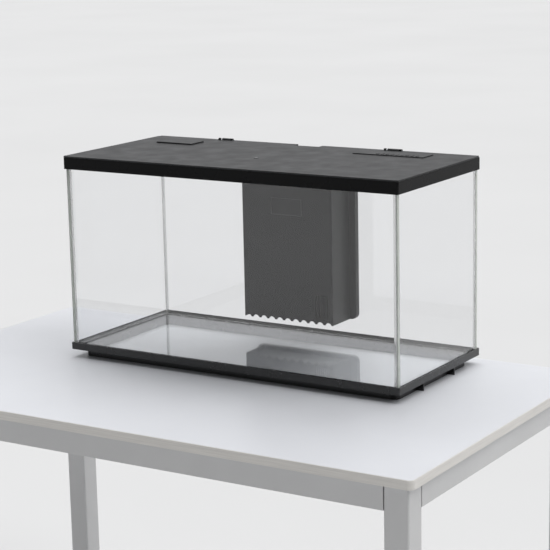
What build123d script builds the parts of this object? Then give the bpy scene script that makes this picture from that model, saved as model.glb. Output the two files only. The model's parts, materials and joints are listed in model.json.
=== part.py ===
from build123d import *
import os

# Rectangular glass aquarium with a hinged lid and an internal filter, on a steel-framed stand.
# Millimetres, +X right, +Y back, +Z up. The origin is on the floor, under the centre of the stand.
# Tank, lid and filter are drawn in the tank's own frame (origin: centre of the tank's footprint,
# on the stand's top) and moved to their place when they are written.

PAST = 1.0  # how far a cutting shape runs past the face it cuts
BEDDED = 0.5  # how far a rib or boss starts inside the wall it stands on
LEAST_R = 0.5  # smallest inner corner of a moulded wall

# ---- stand -----------------------------------------------------------------------------------
STAND_L = 1360.0
STAND_W = 800.0
STAND_H = 740.0
BOARD_T = 18.0
BOARD_R = 12.0
BAND_T = 2.0
LEG_SIZE = 50.0
LEG_WALL = 2.0
LEG_R = 4.0
LEG_INSET = 15.0
LEG_BOTTOM = 30.0
RAIL_H = 50.0
RAIL_T = 25.0
RAIL_WALL = 1.5
GUSSET_LEG = 126.0
GUSSET_SCREW = 27.0
GUSSET_T = 3.0
SCREW_R = 2.5
SCREW_HEAD_R = 5.0
SCREW_HEAD_T = 3.0
SCREW_DEPTH = 12.0
SCREW_SPARE = 1.0
SCREW_DOME = 1.2
SCREW_HEX_R = 2.0
SCREW_HEX_DEPTH = 1.5
INSERT_FLANGE = 3.0
INSERT_DEPTH = 25.0
INSERT_GAP = 0.1
FOOT_PAD_R = 19.0
FOOT_PAD_T = 8.0
FOOT_CHAMFER = 1.5
FOOT_HEX = 22.0
FOOT_HEX_TOP = 14.0
STUD_R = 4.0
STUD_TOP = 62.0
STUD_GAP = 0.05
STUD_CHAMFER = 0.8
LOCK_NUT = 13.0
LOCK_NUT_T = 6.5

# ---- tank ------------------------------------------------------------------------------------
TANK_L = 810.0
TANK_W = 360.0
TANK_X = 36.0
TANK_Y = 183.0
GLASS_T = 6.0
GLASS_INSET = 4.0
SEAM = 5.0
BASE_UNDER = 18.0
BASE_TOP = 33.0
LEDGE_T = 3.5
SKIRT_T = 2.5
SKIRT_R = 3.0
RING_X = 387.0
RING_Y = 156.0
RING_T = 3.0
RING_R = 15.0
STUB_Y = 69.0
STUB_T = 3.0
STUB_END = 401.0

# ---- top rim and lid -------------------------------------------------------------------------
RIM_BOTTOM = 415.0
RIM_TOP = 440.0
WEB_T = 3.0
WEB_IN = 22.0
LIP_T = 2.0
LIP_GAP = 0.5
LIP_DROP = 13.0
LID_GAP = 0.4
LID_T = 2.6
LID_TOP = RIM_TOP + LID_GAP + LID_T
LID_BACK = 170.9
STRIP_FRONT = 171.4
NOTCH_X = (-35.0, 28.0)
NOTCH_FRONT = 162.0
HINGE_Y = 175.0
HINGE_R = 4.0
HINGE_GAP = 0.4
PIN_R = 1.5
PIN_GAP = 0.05
POCKET_IN = 2.0
TONGUE_LAP = 3.0
# each lid hinge: left lug, lid knuckle, right lug, as spans along X
HINGES = (
    ((-240.0, -236.0), (-230.0, -209.0), (-208.0, -203.0)),
    ((183.0, 187.0), (192.0, 219.0), (220.0, 225.0)),
)
RIB_T = 2.0
RIB_DEPTH = 4.0
RIM_RIB_DEPTH = 6.0
RIB_SPAN = 154.0
RIB_X = (-360.0, -225.0, -110.0, 30.0, 125.0, 335.0)
LOCATE_X = 381.0
LOCATE_Y = 156.0

# ---- hatches in the lid: span in X, span in Y, thickness ----------------------------------------
FEED_HATCH = ((-341.0, -247.0), (74.0, 123.0), 2.7)
CARE_HATCH = ((147.0, 314.0), (100.0, 147.0), 1.6)
HATCH_LIFT = 0.3
HATCH_LAP = 5.0
HATCH_BACK_LAP = 10.0
HATCH_EDGE_SHARE = 0.44
HATCH_ARM_IN = 1.6
HATCH_PLUG_GAP = 1.0
HATCH_PLUG_T = 1.5
HATCH_PIN_R = 0.8
HATCH_BARREL_R = 1.8
HATCH_AXIS_DROP = 1.4
HATCH_AXIS_BACK = 1.9
HATCH_KNUCKLE = 10.0
HATCH_KNUCKLE_AT = 1 / 6
HATCH_BOSS_WALL = 1.0
HATCH_LUG = 4.0
HATCH_SWING = 3.6
GRIP_RIBS = 9
GRIP_START = 0.3
GRIP_END = 12.0
GRIP_Y = (4.0, 14.0)
GRIP_W = 4.0
GRIP_H = 0.8

# ---- lamp and its push button --------------------------------------------------------------------
LAMP_L = 600.0
LAMP_Y = (-62.0, -18.0)
LAMP_Z = (422.0, 436.0)
LAMP_T = 2.0
LED_COLS = 24
LED_ROWS = 2
LED_SIZE = 5.0
LED_T = 1.0
LED_ROW_IN = 6.0
LED_END = 10.0
LENS_T = 2.5
LENS_LEDGE = 2.5
LENS_LEDGE_T = 1.0
LAMP_BOARD_T = 1.6
LAMP_BOARD_END = 4.0
LAMP_BOARD_SIDE = 1.0
END_CAP_T = 3.0
END_CAP_R = 1.0
CLIP_X = (-225.0, 125.0)
CLIP_W = 12.0
CLIP_T = 0.4
CLIP_LIP = 2.0
BUTTON_XY = (-5.0, -39.0)
BUTTON_R = 5.0
BUTTON_TRAVEL = 0.8
BUTTON_PROUD = 0.9
BUTTON_EDGE = 0.6
BUTTON_UNDER_GAP = 0.4
BUTTON_STEM_R = 2.0
STEM_GAP = 0.3
SWITCH_SIZE = 14.0
SWITCH_H = 3.7
SWITCH_HOLE = 3.0

# ---- filter ------------------------------------------------------------------------------------
CASE_X = (-118.5, 106.5)
CASE_Y = (78.0, 155.0)
CASE_Z = (69.5, 400.0)
CASE_T = 2.5
CASE_R = 4.0
FLOOR_LIFT = 8.0
ARCHES = 11
ARCH_R = 8.5
ARCH_RISE = 5.5
GRILLE_X = (63.0, 98.5)
GRILLE_LOW = (82.0, 134.0)
GRILLE_HIGH = (364.0, 392.0)
SLOTS = 7
SLOT_W = 2.6
PANEL_X = (-43.0, 34.0)
PANEL_Z = (304.0, 341.0)
PANEL_GROOVE = 1.2
PANEL_DEPTH = 0.8
PLATE_X = (-137.0, 122.0)
PLATE_Y = (155.3, 168.5)
PLATE_Z = (69.5, 404.0)
PLATE_T = 3.0
PLATE_R = 12.0
PAD_R = 14.0
PAD_X = (-105.0, 90.0)
PAD_Z = (110.0, 360.0)
WALL_X = (-44.0, 32.0)
WALL_T = 2.0
WALL_TOP = 372.0
WALL_GAP = 0.1
FLOW_SLOTS = 8
FLOW_SLOT_W = 4.0
FLOW_SLOT_H = 24.0
FLOW_SLOT_END = 6.0
FLOW_FROM_TOP = 10.0
FLOW_FROM_FLOOR = 8.0
FOAM_GAP = 1.5
SPONGE_DROP = 40.0
BASKET_Z = (205.0, 335.0)
BASKET_T = 1.6
BASKET_REST = 2.0
BASKET_SLOTS = 9
BASKET_SLOT_W = 2.4
BASKET_SLOT_END = 4.0
BAIL_W = 6.0
BAIL_H = 24.0
BAIL_T = 3.0
RING_MEDIA_R = 8.0
RING_MEDIA_BORE = 4.5
RING_MEDIA_L = 16.0
RING_LAYERS = 3
RING_ROWS = 4
RING_REST = 0.2
RING_STACK_GAP = 0.5
PUMP_XY = (-93.5, 122.0)
PUMP_SIZE = (40.0, 52.0)
PUMP_Z = (88.0, 122.0)
PUMP_CORNER = 5.0
ROTOR_R = 8.0
ROTOR_L = 18.0
CHAMBER_R = 15.0
CHAMBER_DEPTH = 10.0
ROTOR_GAP = 0.8
SHAFT_R = 1.5
SHAFT_SEAT = 3.0
WHEEL_HUB_R = 4.0
WHEEL_GAP = 1.0
ROTOR_INTO = 1.5
BLADES = 6
BLADE_ROOT = 2.5
BLADE_R = 12.5
BLADE_T = 1.6
BLADE_TOP_GAP = 1.2
COVER_T = 4.0
BRIDGE_W = 2.4
HUB_R = 3.2
INLET_R = 6.0
PIPE_R = 7.5
PIPE_BORE = 5.5
PIPE_BEND = 14.0
PIPE_Y = 141.5
PIPE_Z = 384.0
PIPE_END = 64.0
NOZZLE_WALL = 2.0
NOZZLE_BACK = 74.0
NOZZLE_FRONT = 56.0
NOZZLE_LEN = 22.0
NOZZLE_ANGLE = 30.0
KNEE_GAP = 0.3
SPOUT_STEP = 0.5
SPOUT_OUTER = (26.0, 9.0, 4.0)
SPOUT_INNER = (22.4, 5.4, 2.2)
HEATER_XY = (-62.0, 100.0)
HEATER_R = 9.5
HEATER_WALL = 1.2
HEATER_TIP_R = 7.6
HEATER_Z = (112.0, 318.0)
HEATER_CAP_R = 12.5
HEATER_CAP_L = 38.0
HEATER_CAP_EDGE = 2.0
ELEMENT_GAP = 1.5
ELEMENT_LIFT = 1.0
BRACKET_Z = (152.0, 268.0)
BRACKET_H = 10.0
BRACKET_T = 2.0
BRACKET_W = 6.0
DIAL_R = 9.0
DIAL_L = 9.0
DIAL_STEM_R = 3.0
DIAL_STEM_L = 6.0
DIAL_STEM_SPARE = 1.0
DIAL_LIFT = 0.3
DIAL_EDGE = 1.0
FLUTES = 12
FLUTE_R = 1.4
FLUTE_OUT = 0.6
FLUTE_TOP = 2.0
POINTER_W = 2.0
POINTER_IN = 1.5
POINTER_H = 1.0

PARTS = "parts"
GLASS_X = TANK_L / 2 - GLASS_INSET
GLASS_Y = TANK_W / 2 - GLASS_INSET
GLASS_Z = (BASE_UNDER + LEDGE_T, RIM_TOP - WEB_T)
INNER_X = GLASS_X - GLASS_T
INNER_Y = GLASS_Y - GLASS_T
PANE_TOP = GLASS_Z[0] + GLASS_T
PLATE_UNDER = LID_TOP - LID_T
TANK_PLACE = Pos(TANK_X, TANK_Y, STAND_H)
ALONG_X = Rotation(0, 90, 0)
ALONG_Y = Rotation(90, 0, 0)


# ---- helpers -------------------------------------------------------------------------------------
def block(x, y, z):
    """A box from its spans along the three axes."""
    size = Box(x[1] - x[0], y[1] - y[0], z[1] - z[0])
    return Pos((x[0] + x[1]) / 2, (y[0] + y[1]) / 2, (z[0] + z[1]) / 2) * size


def rod_x(radius, x, y, z):
    """A cylinder along X."""
    return Pos((x[0] + x[1]) / 2, y, z) * ALONG_X * Cylinder(radius, x[1] - x[0])


def rod_y(radius, x, y, z):
    """A cylinder along Y."""
    return Pos(x, (y[0] + y[1]) / 2, z) * ALONG_Y * Cylinder(radius, y[1] - y[0])


def rod_z(radius, x, y, z):
    """A cylinder along Z."""
    return Pos(x, y, (z[0] + z[1]) / 2) * Cylinder(radius, z[1] - z[0])


def plate(half_x, half_y, radius, z):
    """A centred plate with rounded corners."""
    outline = RectangleRounded(2 * half_x, 2 * half_y, radius)
    return Pos(0, 0, z[0]) * extrude(outline, z[1] - z[0])


def rim(half_x, half_y, radius, wall, z):
    """A centred upright wall that follows a rounded rectangle."""
    inner_r = max(radius - wall, LEAST_R)
    return plate(half_x, half_y, radius, z) - plate(half_x - wall, half_y - wall, inner_r, z)


def spread(count, span):
    """Evenly spaced positions with the ends half a pitch in."""
    pitch = (span[1] - span[0]) / count
    return [span[0] + pitch * (i + 0.5) for i in range(count)]


def corners(dx, dy):
    return [(sx * dx, sy * dy) for sy in (-1, 1) for sx in (-1, 1)]


def group(shapes):
    """Separate solids of one kind in one node."""
    return Compound(children=list(shapes))


def write(name, shape):
    export_step(shape, os.path.join(PARTS, name + ".step"))


def write_in_tank(name, shape):
    write(name, TANK_PLACE * shape)


# ---- stand -----------------------------------------------------------------------------------
LEG_DX = STAND_L / 2 - LEG_INSET - LEG_SIZE / 2
LEG_DY = STAND_W / 2 - LEG_INSET - LEG_SIZE / 2
FRAME_TOP = STAND_H - BOARD_T
CORNER_NAMES = ("front_left", "front_right", "back_left", "back_right")


def gusset_screw_places():
    inner_x = LEG_DX - LEG_SIZE / 2
    inner_y = LEG_DY - LEG_SIZE / 2
    places = []
    for sx, sy in corners(1, 1):
        places.append((sx * (inner_x - GUSSET_SCREW), sy * (inner_y - GUSSET_SCREW / 2)))
        places.append((sx * (inner_x - GUSSET_SCREW / 2), sy * (inner_y - GUSSET_SCREW)))
    return places


def stand_top():
    board = plate(STAND_L / 2 - BAND_T, STAND_W / 2 - BAND_T, BOARD_R - BAND_T, (FRAME_TOP, STAND_H))
    for x, y in gusset_screw_places():
        board -= rod_z(SCREW_R, x, y, (FRAME_TOP - PAST, FRAME_TOP + SCREW_DEPTH))
    return board


def stand_edge_band():
    return rim(STAND_L / 2, STAND_W / 2, BOARD_R, BAND_T, (FRAME_TOP, STAND_H))


def box_tube(x, y, z, along):
    """A closed steel section from its outer spans; along is 0 for X and 1 for Y."""
    grow = [RAIL_WALL, RAIL_WALL]
    grow[along] = 0.0
    hollow = block((x[0] + grow[0], x[1] - grow[0]), (y[0] + grow[1], y[1] - grow[1]),
                   (z[0] + RAIL_WALL, z[1] - RAIL_WALL))
    return block(x, y, z) - hollow


def stand_rails():
    z = (FRAME_TOP - RAIL_H, FRAME_TOP)
    reach_x = LEG_DX - LEG_SIZE / 2
    reach_y = LEG_DY - LEG_SIZE / 2
    outer_x = LEG_DX + LEG_SIZE / 2
    outer_y = LEG_DY + LEG_SIZE / 2
    return {
        "front": box_tube((-reach_x, reach_x), (-outer_y, -outer_y + RAIL_T), z, 0),
        "back": box_tube((-reach_x, reach_x), (outer_y - RAIL_T, outer_y), z, 0),
        "left": box_tube((-outer_x, -outer_x + RAIL_T), (-reach_y, reach_y), z, 1),
        "right": box_tube((outer_x - RAIL_T, outer_x), (-reach_y, reach_y), z, 1),
    }


def stand_leg(x, y):
    half = LEG_SIZE / 2
    return Pos(x, y, 0) * rim(half, half, LEG_R, LEG_WALL, (LEG_BOTTOM, FRAME_TOP))


def stand_gusset(sx, sy):
    """A triangular plate in the corner between two rails, with two screw holes."""
    corner_x = sx * (LEG_DX + LEG_SIZE / 2 - RAIL_T)
    corner_y = sy * (LEG_DY + LEG_SIZE / 2 - RAIL_T)
    outline = Polyline((corner_x, corner_y), (corner_x - sx * GUSSET_LEG, corner_y),
                       (corner_x, corner_y - sy * GUSSET_LEG), close=True)
    shape = Pos(0, 0, FRAME_TOP - GUSSET_T) * extrude(make_face(outline), GUSSET_T)
    half = LEG_SIZE / 2
    z = (FRAME_TOP - GUSSET_T - PAST, FRAME_TOP + PAST)
    shape -= block((sx * LEG_DX - half, sx * LEG_DX + half), (sy * LEG_DY - half, sy * LEG_DY + half), z)
    for x, y in gusset_screw_places():
        shape -= rod_z(SCREW_R, x, y, z)
    return shape


def stand_screw(x, y):
    under = FRAME_TOP - GUSSET_T
    head = rod_z(SCREW_HEAD_R, x, y, (under - SCREW_HEAD_T, under))
    head = fillet(head.edges().group_by(Axis.Z)[0], SCREW_DOME)
    recess = Pos(x, y, under - SCREW_HEAD_T) * extrude(RegularPolygon(SCREW_HEX_R, 6), SCREW_HEX_DEPTH)
    return head - recess + rod_z(SCREW_R, x, y, (under, FRAME_TOP + SCREW_DEPTH - SCREW_SPARE))


def stand_leg_insert(x, y):
    half = LEG_SIZE / 2
    inner = half - LEG_WALL - INSERT_GAP
    flange = plate(half, half, LEG_R, (LEG_BOTTOM - INSERT_FLANGE, LEG_BOTTOM))
    plug = plate(inner, inner, LEG_R - LEG_WALL, (LEG_BOTTOM, LEG_BOTTOM + INSERT_DEPTH))
    bore = rod_z(STUD_R + STUD_GAP, 0, 0, (LEG_BOTTOM - INSERT_FLANGE - PAST, STUD_TOP))
    return Pos(x, y, 0) * (flange + plug - bore)


def stand_lock_nut(x, y):
    top = LEG_BOTTOM - INSERT_FLANGE
    nut = Pos(x, y, top - LOCK_NUT_T) * extrude(RegularPolygon(LOCK_NUT / 2, 6, major_radius=False),
                                                LOCK_NUT_T)
    return nut - rod_z(STUD_R + STUD_GAP, x, y, (top - LOCK_NUT_T - PAST, top + PAST))


def stand_foot(x, y):
    pad = rod_z(FOOT_PAD_R, 0, 0, (0, FOOT_PAD_T))
    pad = chamfer(pad.edges().group_by(Axis.Z)[0], FOOT_CHAMFER)
    pad = fillet(pad.edges().group_by(Axis.Z)[-1], 2 * FOOT_CHAMFER)
    grip = Pos(0, 0, FOOT_PAD_T) * extrude(RegularPolygon(FOOT_HEX / 2, 6, major_radius=False),
                                           FOOT_HEX_TOP - FOOT_PAD_T)
    stud = rod_z(STUD_R, 0, 0, (FOOT_HEX_TOP, STUD_TOP))
    stud = chamfer(stud.edges().group_by(Axis.Z)[-1], STUD_CHAMFER)
    return Pos(x, y, 0) * (pad + grip + stud)


# ---- tank ------------------------------------------------------------------------------------
def tank_base_frame():
    """Skirt round the glass, ledge under it, and a foot rib set back below the ledge."""
    half_x = TANK_L / 2
    half_y = TANK_W / 2
    skirt = rim(half_x, half_y, SKIRT_R, SKIRT_T, (BASE_UNDER, BASE_TOP))
    ledge = plate(half_x, half_y, SKIRT_R, (BASE_UNDER, BASE_UNDER + LEDGE_T))
    ledge -= plate(RING_X - RING_T, RING_Y - RING_T, RING_R - RING_T, (BASE_UNDER, BASE_UNDER + LEDGE_T))
    foot_rib = rim(RING_X, RING_Y, RING_R, RING_T, (0, BASE_UNDER))
    shape = skirt + ledge + foot_rib
    for sx in (-1, 1):
        for sy in (-1, 1):
            x = sorted((sx * (RING_X - RING_T / 2), sx * STUB_END))
            y = (sy * STUB_Y - STUB_T / 2, sy * STUB_Y + STUB_T / 2)
            shape += block(x, y, (0, BASE_UNDER + LEDGE_T / 2))
    return shape


def glass_panes():
    long_x = (-GLASS_X, GLASS_X)
    side_y = (-INNER_Y, INNER_Y)
    return {
        "bottom": block((-INNER_X, INNER_X), side_y, (GLASS_Z[0], PANE_TOP)),
        "front": block(long_x, (-GLASS_Y, -INNER_Y), GLASS_Z),
        "back": block(long_x, (INNER_Y, GLASS_Y), GLASS_Z),
        "left": block((-GLASS_X, -INNER_X), side_y, GLASS_Z),
        "right": block((INNER_X, GLASS_X), side_y, GLASS_Z),
    }


def tank_corner_seams():
    """Silicone fillets up the four inside corners."""
    z = (PANE_TOP + SEAM, GLASS_Z[1] - LIP_DROP - WEB_T)
    seams = []
    for sx, sy in corners(1, 1):
        corner = (sx * INNER_X, sy * INNER_Y)
        outline = Polyline(corner, (corner[0] - sx * SEAM, corner[1]), (corner[0], corner[1] - sy * SEAM),
                           close=True)
        seams.append(Pos(0, 0, z[0]) * extrude(make_face(outline), z[1] - z[0]))
    return group(seams)


def tank_bottom_seam():
    """Silicone fillet round the inside of the bottom pane."""
    bead = block((-INNER_X, INNER_X), (-INNER_Y, INNER_Y), (PANE_TOP, PANE_TOP + SEAM))
    outline = Rectangle(2 * (INNER_X - SEAM), 2 * (INNER_Y - SEAM))
    outline_top = Pos(0, 0, SEAM) * Rectangle(2 * INNER_X, 2 * INNER_Y)
    return bead - Pos(0, 0, PANE_TOP) * loft([outline, outline_top])


def rim_ring():
    """Skirt, web and inner lip all round, with the rear strip that carries the hinges."""
    half_x = TANK_L / 2
    half_y = TANK_W / 2
    web_bottom = RIM_TOP - WEB_T
    skirt = rim(half_x, half_y, SKIRT_R, SKIRT_T, (RIM_BOTTOM, RIM_TOP))
    web = rim(half_x, half_y, SKIRT_R, WEB_IN, (web_bottom, RIM_TOP))
    lip = rim(INNER_X - LIP_GAP, INNER_Y - LIP_GAP, SKIRT_R, LIP_T, (web_bottom - LIP_DROP, RIM_TOP))
    strip = block((-half_x + SKIRT_R, half_x - SKIRT_R), (STRIP_FRONT, half_y), (RIM_TOP, LID_TOP))
    shape = skirt + web + lip + strip
    for left_lug, _, right_lug in HINGES:
        pocket_x = (left_lug[1], right_lug[0])
        pocket_y = (HINGE_Y - HINGE_R - HINGE_GAP - POCKET_IN, half_y + PAST)
        shape -= block(pocket_x, pocket_y, (LID_TOP - HINGE_R - HINGE_GAP, LID_TOP + PAST))
        for lug in (left_lug, right_lug):
            barrel = rod_x(HINGE_R, lug, HINGE_Y, LID_TOP)
            foot = block(lug, (STRIP_FRONT, half_y), (web_bottom, LID_TOP))
            shape += barrel + foot
            shape -= rod_x(PIN_R, lug, HINGE_Y, LID_TOP)
            shape -= block(lug, (HINGE_Y - HINGE_R - PAST, STRIP_FRONT), (RIM_TOP, LID_TOP + HINGE_R))
    shape -= block(NOTCH_X, (NOTCH_FRONT, half_y + PAST), (web_bottom, LID_TOP + PAST))
    lead_way = (half_y - WEB_IN - PAST, INNER_Y)
    return shape - block(NOTCH_X, lead_way, (web_bottom - LIP_DROP - PAST, LID_TOP + PAST))


def mitre_zone(*outline):
    """The space over an outline, as high as the skirt."""
    return Pos(0, 0, RIM_BOTTOM) * extrude(make_face(Polyline(*outline, close=True)), RIM_TOP - RIM_BOTTOM)


def tank_rim_frame():
    """The top frame's rails: mitred at the corners, the rear one in two with a bridge below the notch."""
    half_x = TANK_L / 2
    half_y = TANK_W / 2
    run = half_x - half_y
    ring = rim_ring()
    zones = [mitre_zone((-half_x, -half_y), (half_x, -half_y), (run, 0), (-run, 0))]
    for side in (-1, 1):
        zones.append(mitre_zone((side * half_x, -half_y), (side * run, 0), (side * half_x, half_y)))
    rails = [ring & zone for zone in zones]
    rear = ring - zones[0] - zones[1] - zones[2]
    for x in ((-half_x, NOTCH_X[0]), NOTCH_X, (NOTCH_X[1], half_x)):
        rails.append(rear & block(x, (0, half_y), (RIM_BOTTOM, LID_TOP + HINGE_R)))
    return group(rails)


def tank_hinge_pins():
    return group(rod_x(PIN_R, (left[0], right[1]), HINGE_Y, LID_TOP) for left, _, right in HINGES)


# ---- lid -------------------------------------------------------------------------------------
def hatch_axis(hatch):
    """Where a hatch's hinge axis lies: its y and its z."""
    return hatch[1][1] + HATCH_AXIS_BACK, LID_TOP - HATCH_AXIS_DROP


def hatch_knuckles(hatch):
    x = hatch[0]
    inset = HATCH_KNUCKLE_AT * (x[1] - x[0])
    return ((x[0] + inset, x[0] + inset + HATCH_KNUCKLE), (x[1] - inset - HATCH_KNUCKLE, x[1] - inset))


def hatch_opening(hatch, gap=0.0):
    """Spans of the opening under a hatch, or with a gap those of the plug that sits in it."""
    x, y, _ = hatch
    lap = HATCH_LAP + gap
    return (x[0] + lap, x[1] - lap), (y[0] + lap, y[1] - HATCH_BACK_LAP - gap)


def hatch_flap(hatch):
    """Flap with a locating plug under it and two hinge knuckles behind it."""
    x, y, thick = hatch
    bottom = LID_TOP + HATCH_LIFT
    flap = block(x, y, (bottom, bottom + thick))
    flap = fillet(flap.edges().group_by(Axis.Z)[-1], HATCH_EDGE_SHARE * thick)
    plug_x, plug_y = hatch_opening(hatch, HATCH_PLUG_GAP)
    plug = block(plug_x, plug_y, (LID_TOP - LID_T, bottom))
    inner_x = (plug_x[0] + HATCH_PLUG_T, plug_x[1] - HATCH_PLUG_T)
    inner_y = (plug_y[0] + HATCH_PLUG_T, plug_y[1] - HATCH_PLUG_T)
    flap += plug - block(inner_x, inner_y, (LID_TOP - LID_T, bottom))
    axis_y, axis_z = hatch_axis(hatch)
    for knuckle in hatch_knuckles(hatch):
        barrel = rod_x(HATCH_BARREL_R, knuckle, axis_y, axis_z)
        arm = block(knuckle, (y[1] - HATCH_ARM_IN, axis_y), (axis_z, bottom + thick / 2))
        flap += barrel + arm
        flap -= rod_x(HATCH_PIN_R + PIN_GAP, knuckle, axis_y, axis_z)
    return flap


def care_hatch():
    """The larger, lower hatch, with a row of finger ribs along its front."""
    x, y, thick = CARE_HATCH
    flap = hatch_flap(CARE_HATCH)
    top = LID_TOP + HATCH_LIFT + thick
    grip = (x[0] + GRIP_START * (x[1] - x[0]), x[1] - GRIP_END)
    rib_y = (y[0] + GRIP_Y[0], y[0] + GRIP_Y[1])
    for centre in spread(GRIP_RIBS, grip):
        flap += block((centre - GRIP_W / 2, centre + GRIP_W / 2), rib_y, (top - BEDDED, top + GRIP_H))
    return flap


def hatch_pin_spans(hatch):
    return [(k[0] - HATCH_LUG, k[1] + HATCH_LUG) for k in hatch_knuckles(hatch)]


def lid_hatch_pins():
    pins = []
    for hatch in (FEED_HATCH, CARE_HATCH):
        axis_y, axis_z = hatch_axis(hatch)
        pins += [rod_x(HATCH_PIN_R, span, axis_y, axis_z) for span in hatch_pin_spans(hatch)]
    return group(pins)


def cut_hatch(lid, hatch):
    """Opening, knuckle slots and pin bosses for one hatch."""
    x, y = hatch_opening(hatch)
    axis_y, axis_z = hatch_axis(hatch)
    lid -= block(x, y, (PLATE_UNDER - PAST, LID_TOP + PAST))
    gap = HATCH_BARREL_R + HINGE_GAP
    for knuckle, span in zip(hatch_knuckles(hatch), hatch_pin_spans(hatch)):
        boss_bottom = axis_z - gap - HATCH_BOSS_WALL
        lid += block(span, (axis_y - gap, axis_y + gap), (boss_bottom, PLATE_UNDER + BEDDED))
        slot = (knuckle[0] - HINGE_GAP, knuckle[1] + HINGE_GAP)
        lid -= block(slot, (axis_y - 2 * gap, axis_y + HATCH_SWING), (boss_bottom - PAST, LID_TOP + PAST))
        lid -= rod_x(HATCH_PIN_R, span, axis_y, axis_z)
    return lid


def lid_panel():
    """Top plate with its locating rib, cross ribs, openings and hinge knuckles."""
    front = -TANK_W / 2
    depth = LID_BACK - front
    outline = RectangleRounded(TANK_L, depth, SKIRT_R)
    lid = Pos(0, (front + LID_BACK) / 2, PLATE_UNDER) * extrude(outline, LID_T)
    lid += rim(LOCATE_X, LOCATE_Y, SKIRT_R, RIB_T, (PLATE_UNDER - RIM_RIB_DEPTH, PLATE_UNDER))
    for x in RIB_X:
        lid += block((x - RIB_T / 2, x + RIB_T / 2), (-RIB_SPAN, RIB_SPAN),
                     (PLATE_UNDER - RIB_DEPTH, PLATE_UNDER + BEDDED))
    for hatch in (FEED_HATCH, CARE_HATCH):
        lid = cut_hatch(lid, hatch)
    lid -= block(NOTCH_X, (NOTCH_FRONT, LID_BACK + PAST), (PLATE_UNDER - PAST, LID_TOP + PAST))
    for _, knuckle, _ in HINGES:
        tongue = block(knuckle, (LID_BACK - TONGUE_LAP, HINGE_Y), (PLATE_UNDER, LID_TOP))
        lid += tongue + rod_x(HINGE_R, knuckle, HINGE_Y, LID_TOP)
        lid -= rod_x(PIN_R + PIN_GAP, knuckle, HINGE_Y, LID_TOP)
    x, y = BUTTON_XY
    return lid - rod_z(BUTTON_R + HINGE_GAP, x, y, (PLATE_UNDER - PAST, LID_TOP + PAST))


def lid_switch_block():
    x, y = BUTTON_XY
    half = SWITCH_SIZE / 2
    body = block((x - half, x + half), (y - half, y + half), (PLATE_UNDER - SWITCH_H, PLATE_UNDER))
    return body - rod_z(BUTTON_STEM_R + STEM_GAP, x, y, (PLATE_UNDER - SWITCH_HOLE, PLATE_UNDER + PAST))


def lid_light_button():
    x, y = BUTTON_XY
    cap_bottom = PLATE_UNDER + BUTTON_TRAVEL + BUTTON_UNDER_GAP
    cap = rod_z(BUTTON_R, x, y, (cap_bottom, LID_TOP + BUTTON_PROUD))
    cap = fillet(cap.edges().group_by(Axis.Z)[-1], BUTTON_EDGE)
    stem_bottom = PLATE_UNDER - SWITCH_HOLE + BUTTON_TRAVEL + STEM_GAP
    return cap + rod_z(BUTTON_STEM_R, x, y, (stem_bottom, cap_bottom + BEDDED))


def lamp_housing():
    """Downward-open aluminium channel, with ledges that hold the lens."""
    x = (-LAMP_L / 2, LAMP_L / 2)
    inner_y = (LAMP_Y[0] + LAMP_T, LAMP_Y[1] - LAMP_T)
    shell = block(x, LAMP_Y, LAMP_Z) - block(x, inner_y, (LAMP_Z[0], LAMP_Z[1] - LAMP_T))
    for sign, edge in ((1, inner_y[0]), (-1, inner_y[1])):
        y = sorted((edge - sign * BEDDED, edge + sign * LENS_LEDGE))
        shell += block(x, y, (LAMP_Z[0] + LENS_T, LAMP_Z[0] + LENS_T + LENS_LEDGE_T))
    return shell


def lamp_lens():
    x = (-LAMP_L / 2, LAMP_L / 2)
    return block(x, (LAMP_Y[0] + LAMP_T, LAMP_Y[1] - LAMP_T), (LAMP_Z[0], LAMP_Z[0] + LENS_T))


def lamp_board():
    x = (-LAMP_L / 2 + LAMP_BOARD_END, LAMP_L / 2 - LAMP_BOARD_END)
    y = (LAMP_Y[0] + LAMP_T + LAMP_BOARD_SIDE, LAMP_Y[1] - LAMP_T - LAMP_BOARD_SIDE)
    top = LAMP_Z[1] - LAMP_T
    return block(x, y, (top - LAMP_BOARD_T, top))


def lamp_leds():
    top = LAMP_Z[1] - LAMP_T - LAMP_BOARD_T
    half = LED_SIZE / 2
    leds = []
    for y in spread(LED_ROWS, (LAMP_Y[0] + LED_ROW_IN, LAMP_Y[1] - LED_ROW_IN)):
        for x in spread(LED_COLS, (-LAMP_L / 2 + LED_END, LAMP_L / 2 - LED_END)):
            leds.append(block((x - half, x + half), (y - half, y + half), (top - LED_T, top)))
    return group(leds)


def lamp_end_caps():
    caps = []
    for side in (-1, 1):
        x = sorted((side * LAMP_L / 2, side * (LAMP_L / 2 + END_CAP_T)))
        cap = block(x, LAMP_Y, LAMP_Z)
        caps.append(fillet(cap.edges().filter_by(Axis.X), END_CAP_R))
    return group(caps)


def lamp_clips():
    """Spring straps that hold the lamp up against the lid's ribs."""
    clips = []
    for centre in CLIP_X:
        x = (centre - CLIP_W / 2, centre + CLIP_W / 2)
        outer = block(x, (LAMP_Y[0] - CLIP_T, LAMP_Y[1] + CLIP_T), (LAMP_Z[0] - CLIP_T, LAMP_Z[1] + CLIP_T))
        inner = block(x, LAMP_Y, LAMP_Z)
        mouth_y = (LAMP_Y[0] + CLIP_LIP, LAMP_Y[1] - CLIP_LIP)
        mouth = block(x, mouth_y, (LAMP_Z[0] - PAST, LAMP_Z[0]))
        clips.append(outer - inner - mouth)
    return group(clips)


# ---- filter ----------------------------------------------------------------------------------
FLOOR_Z = (CASE_Z[0] + FLOOR_LIFT, CASE_Z[0] + FLOOR_LIFT + CASE_T)
PUMP_FLOOR = FLOOR_Z[1]


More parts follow.
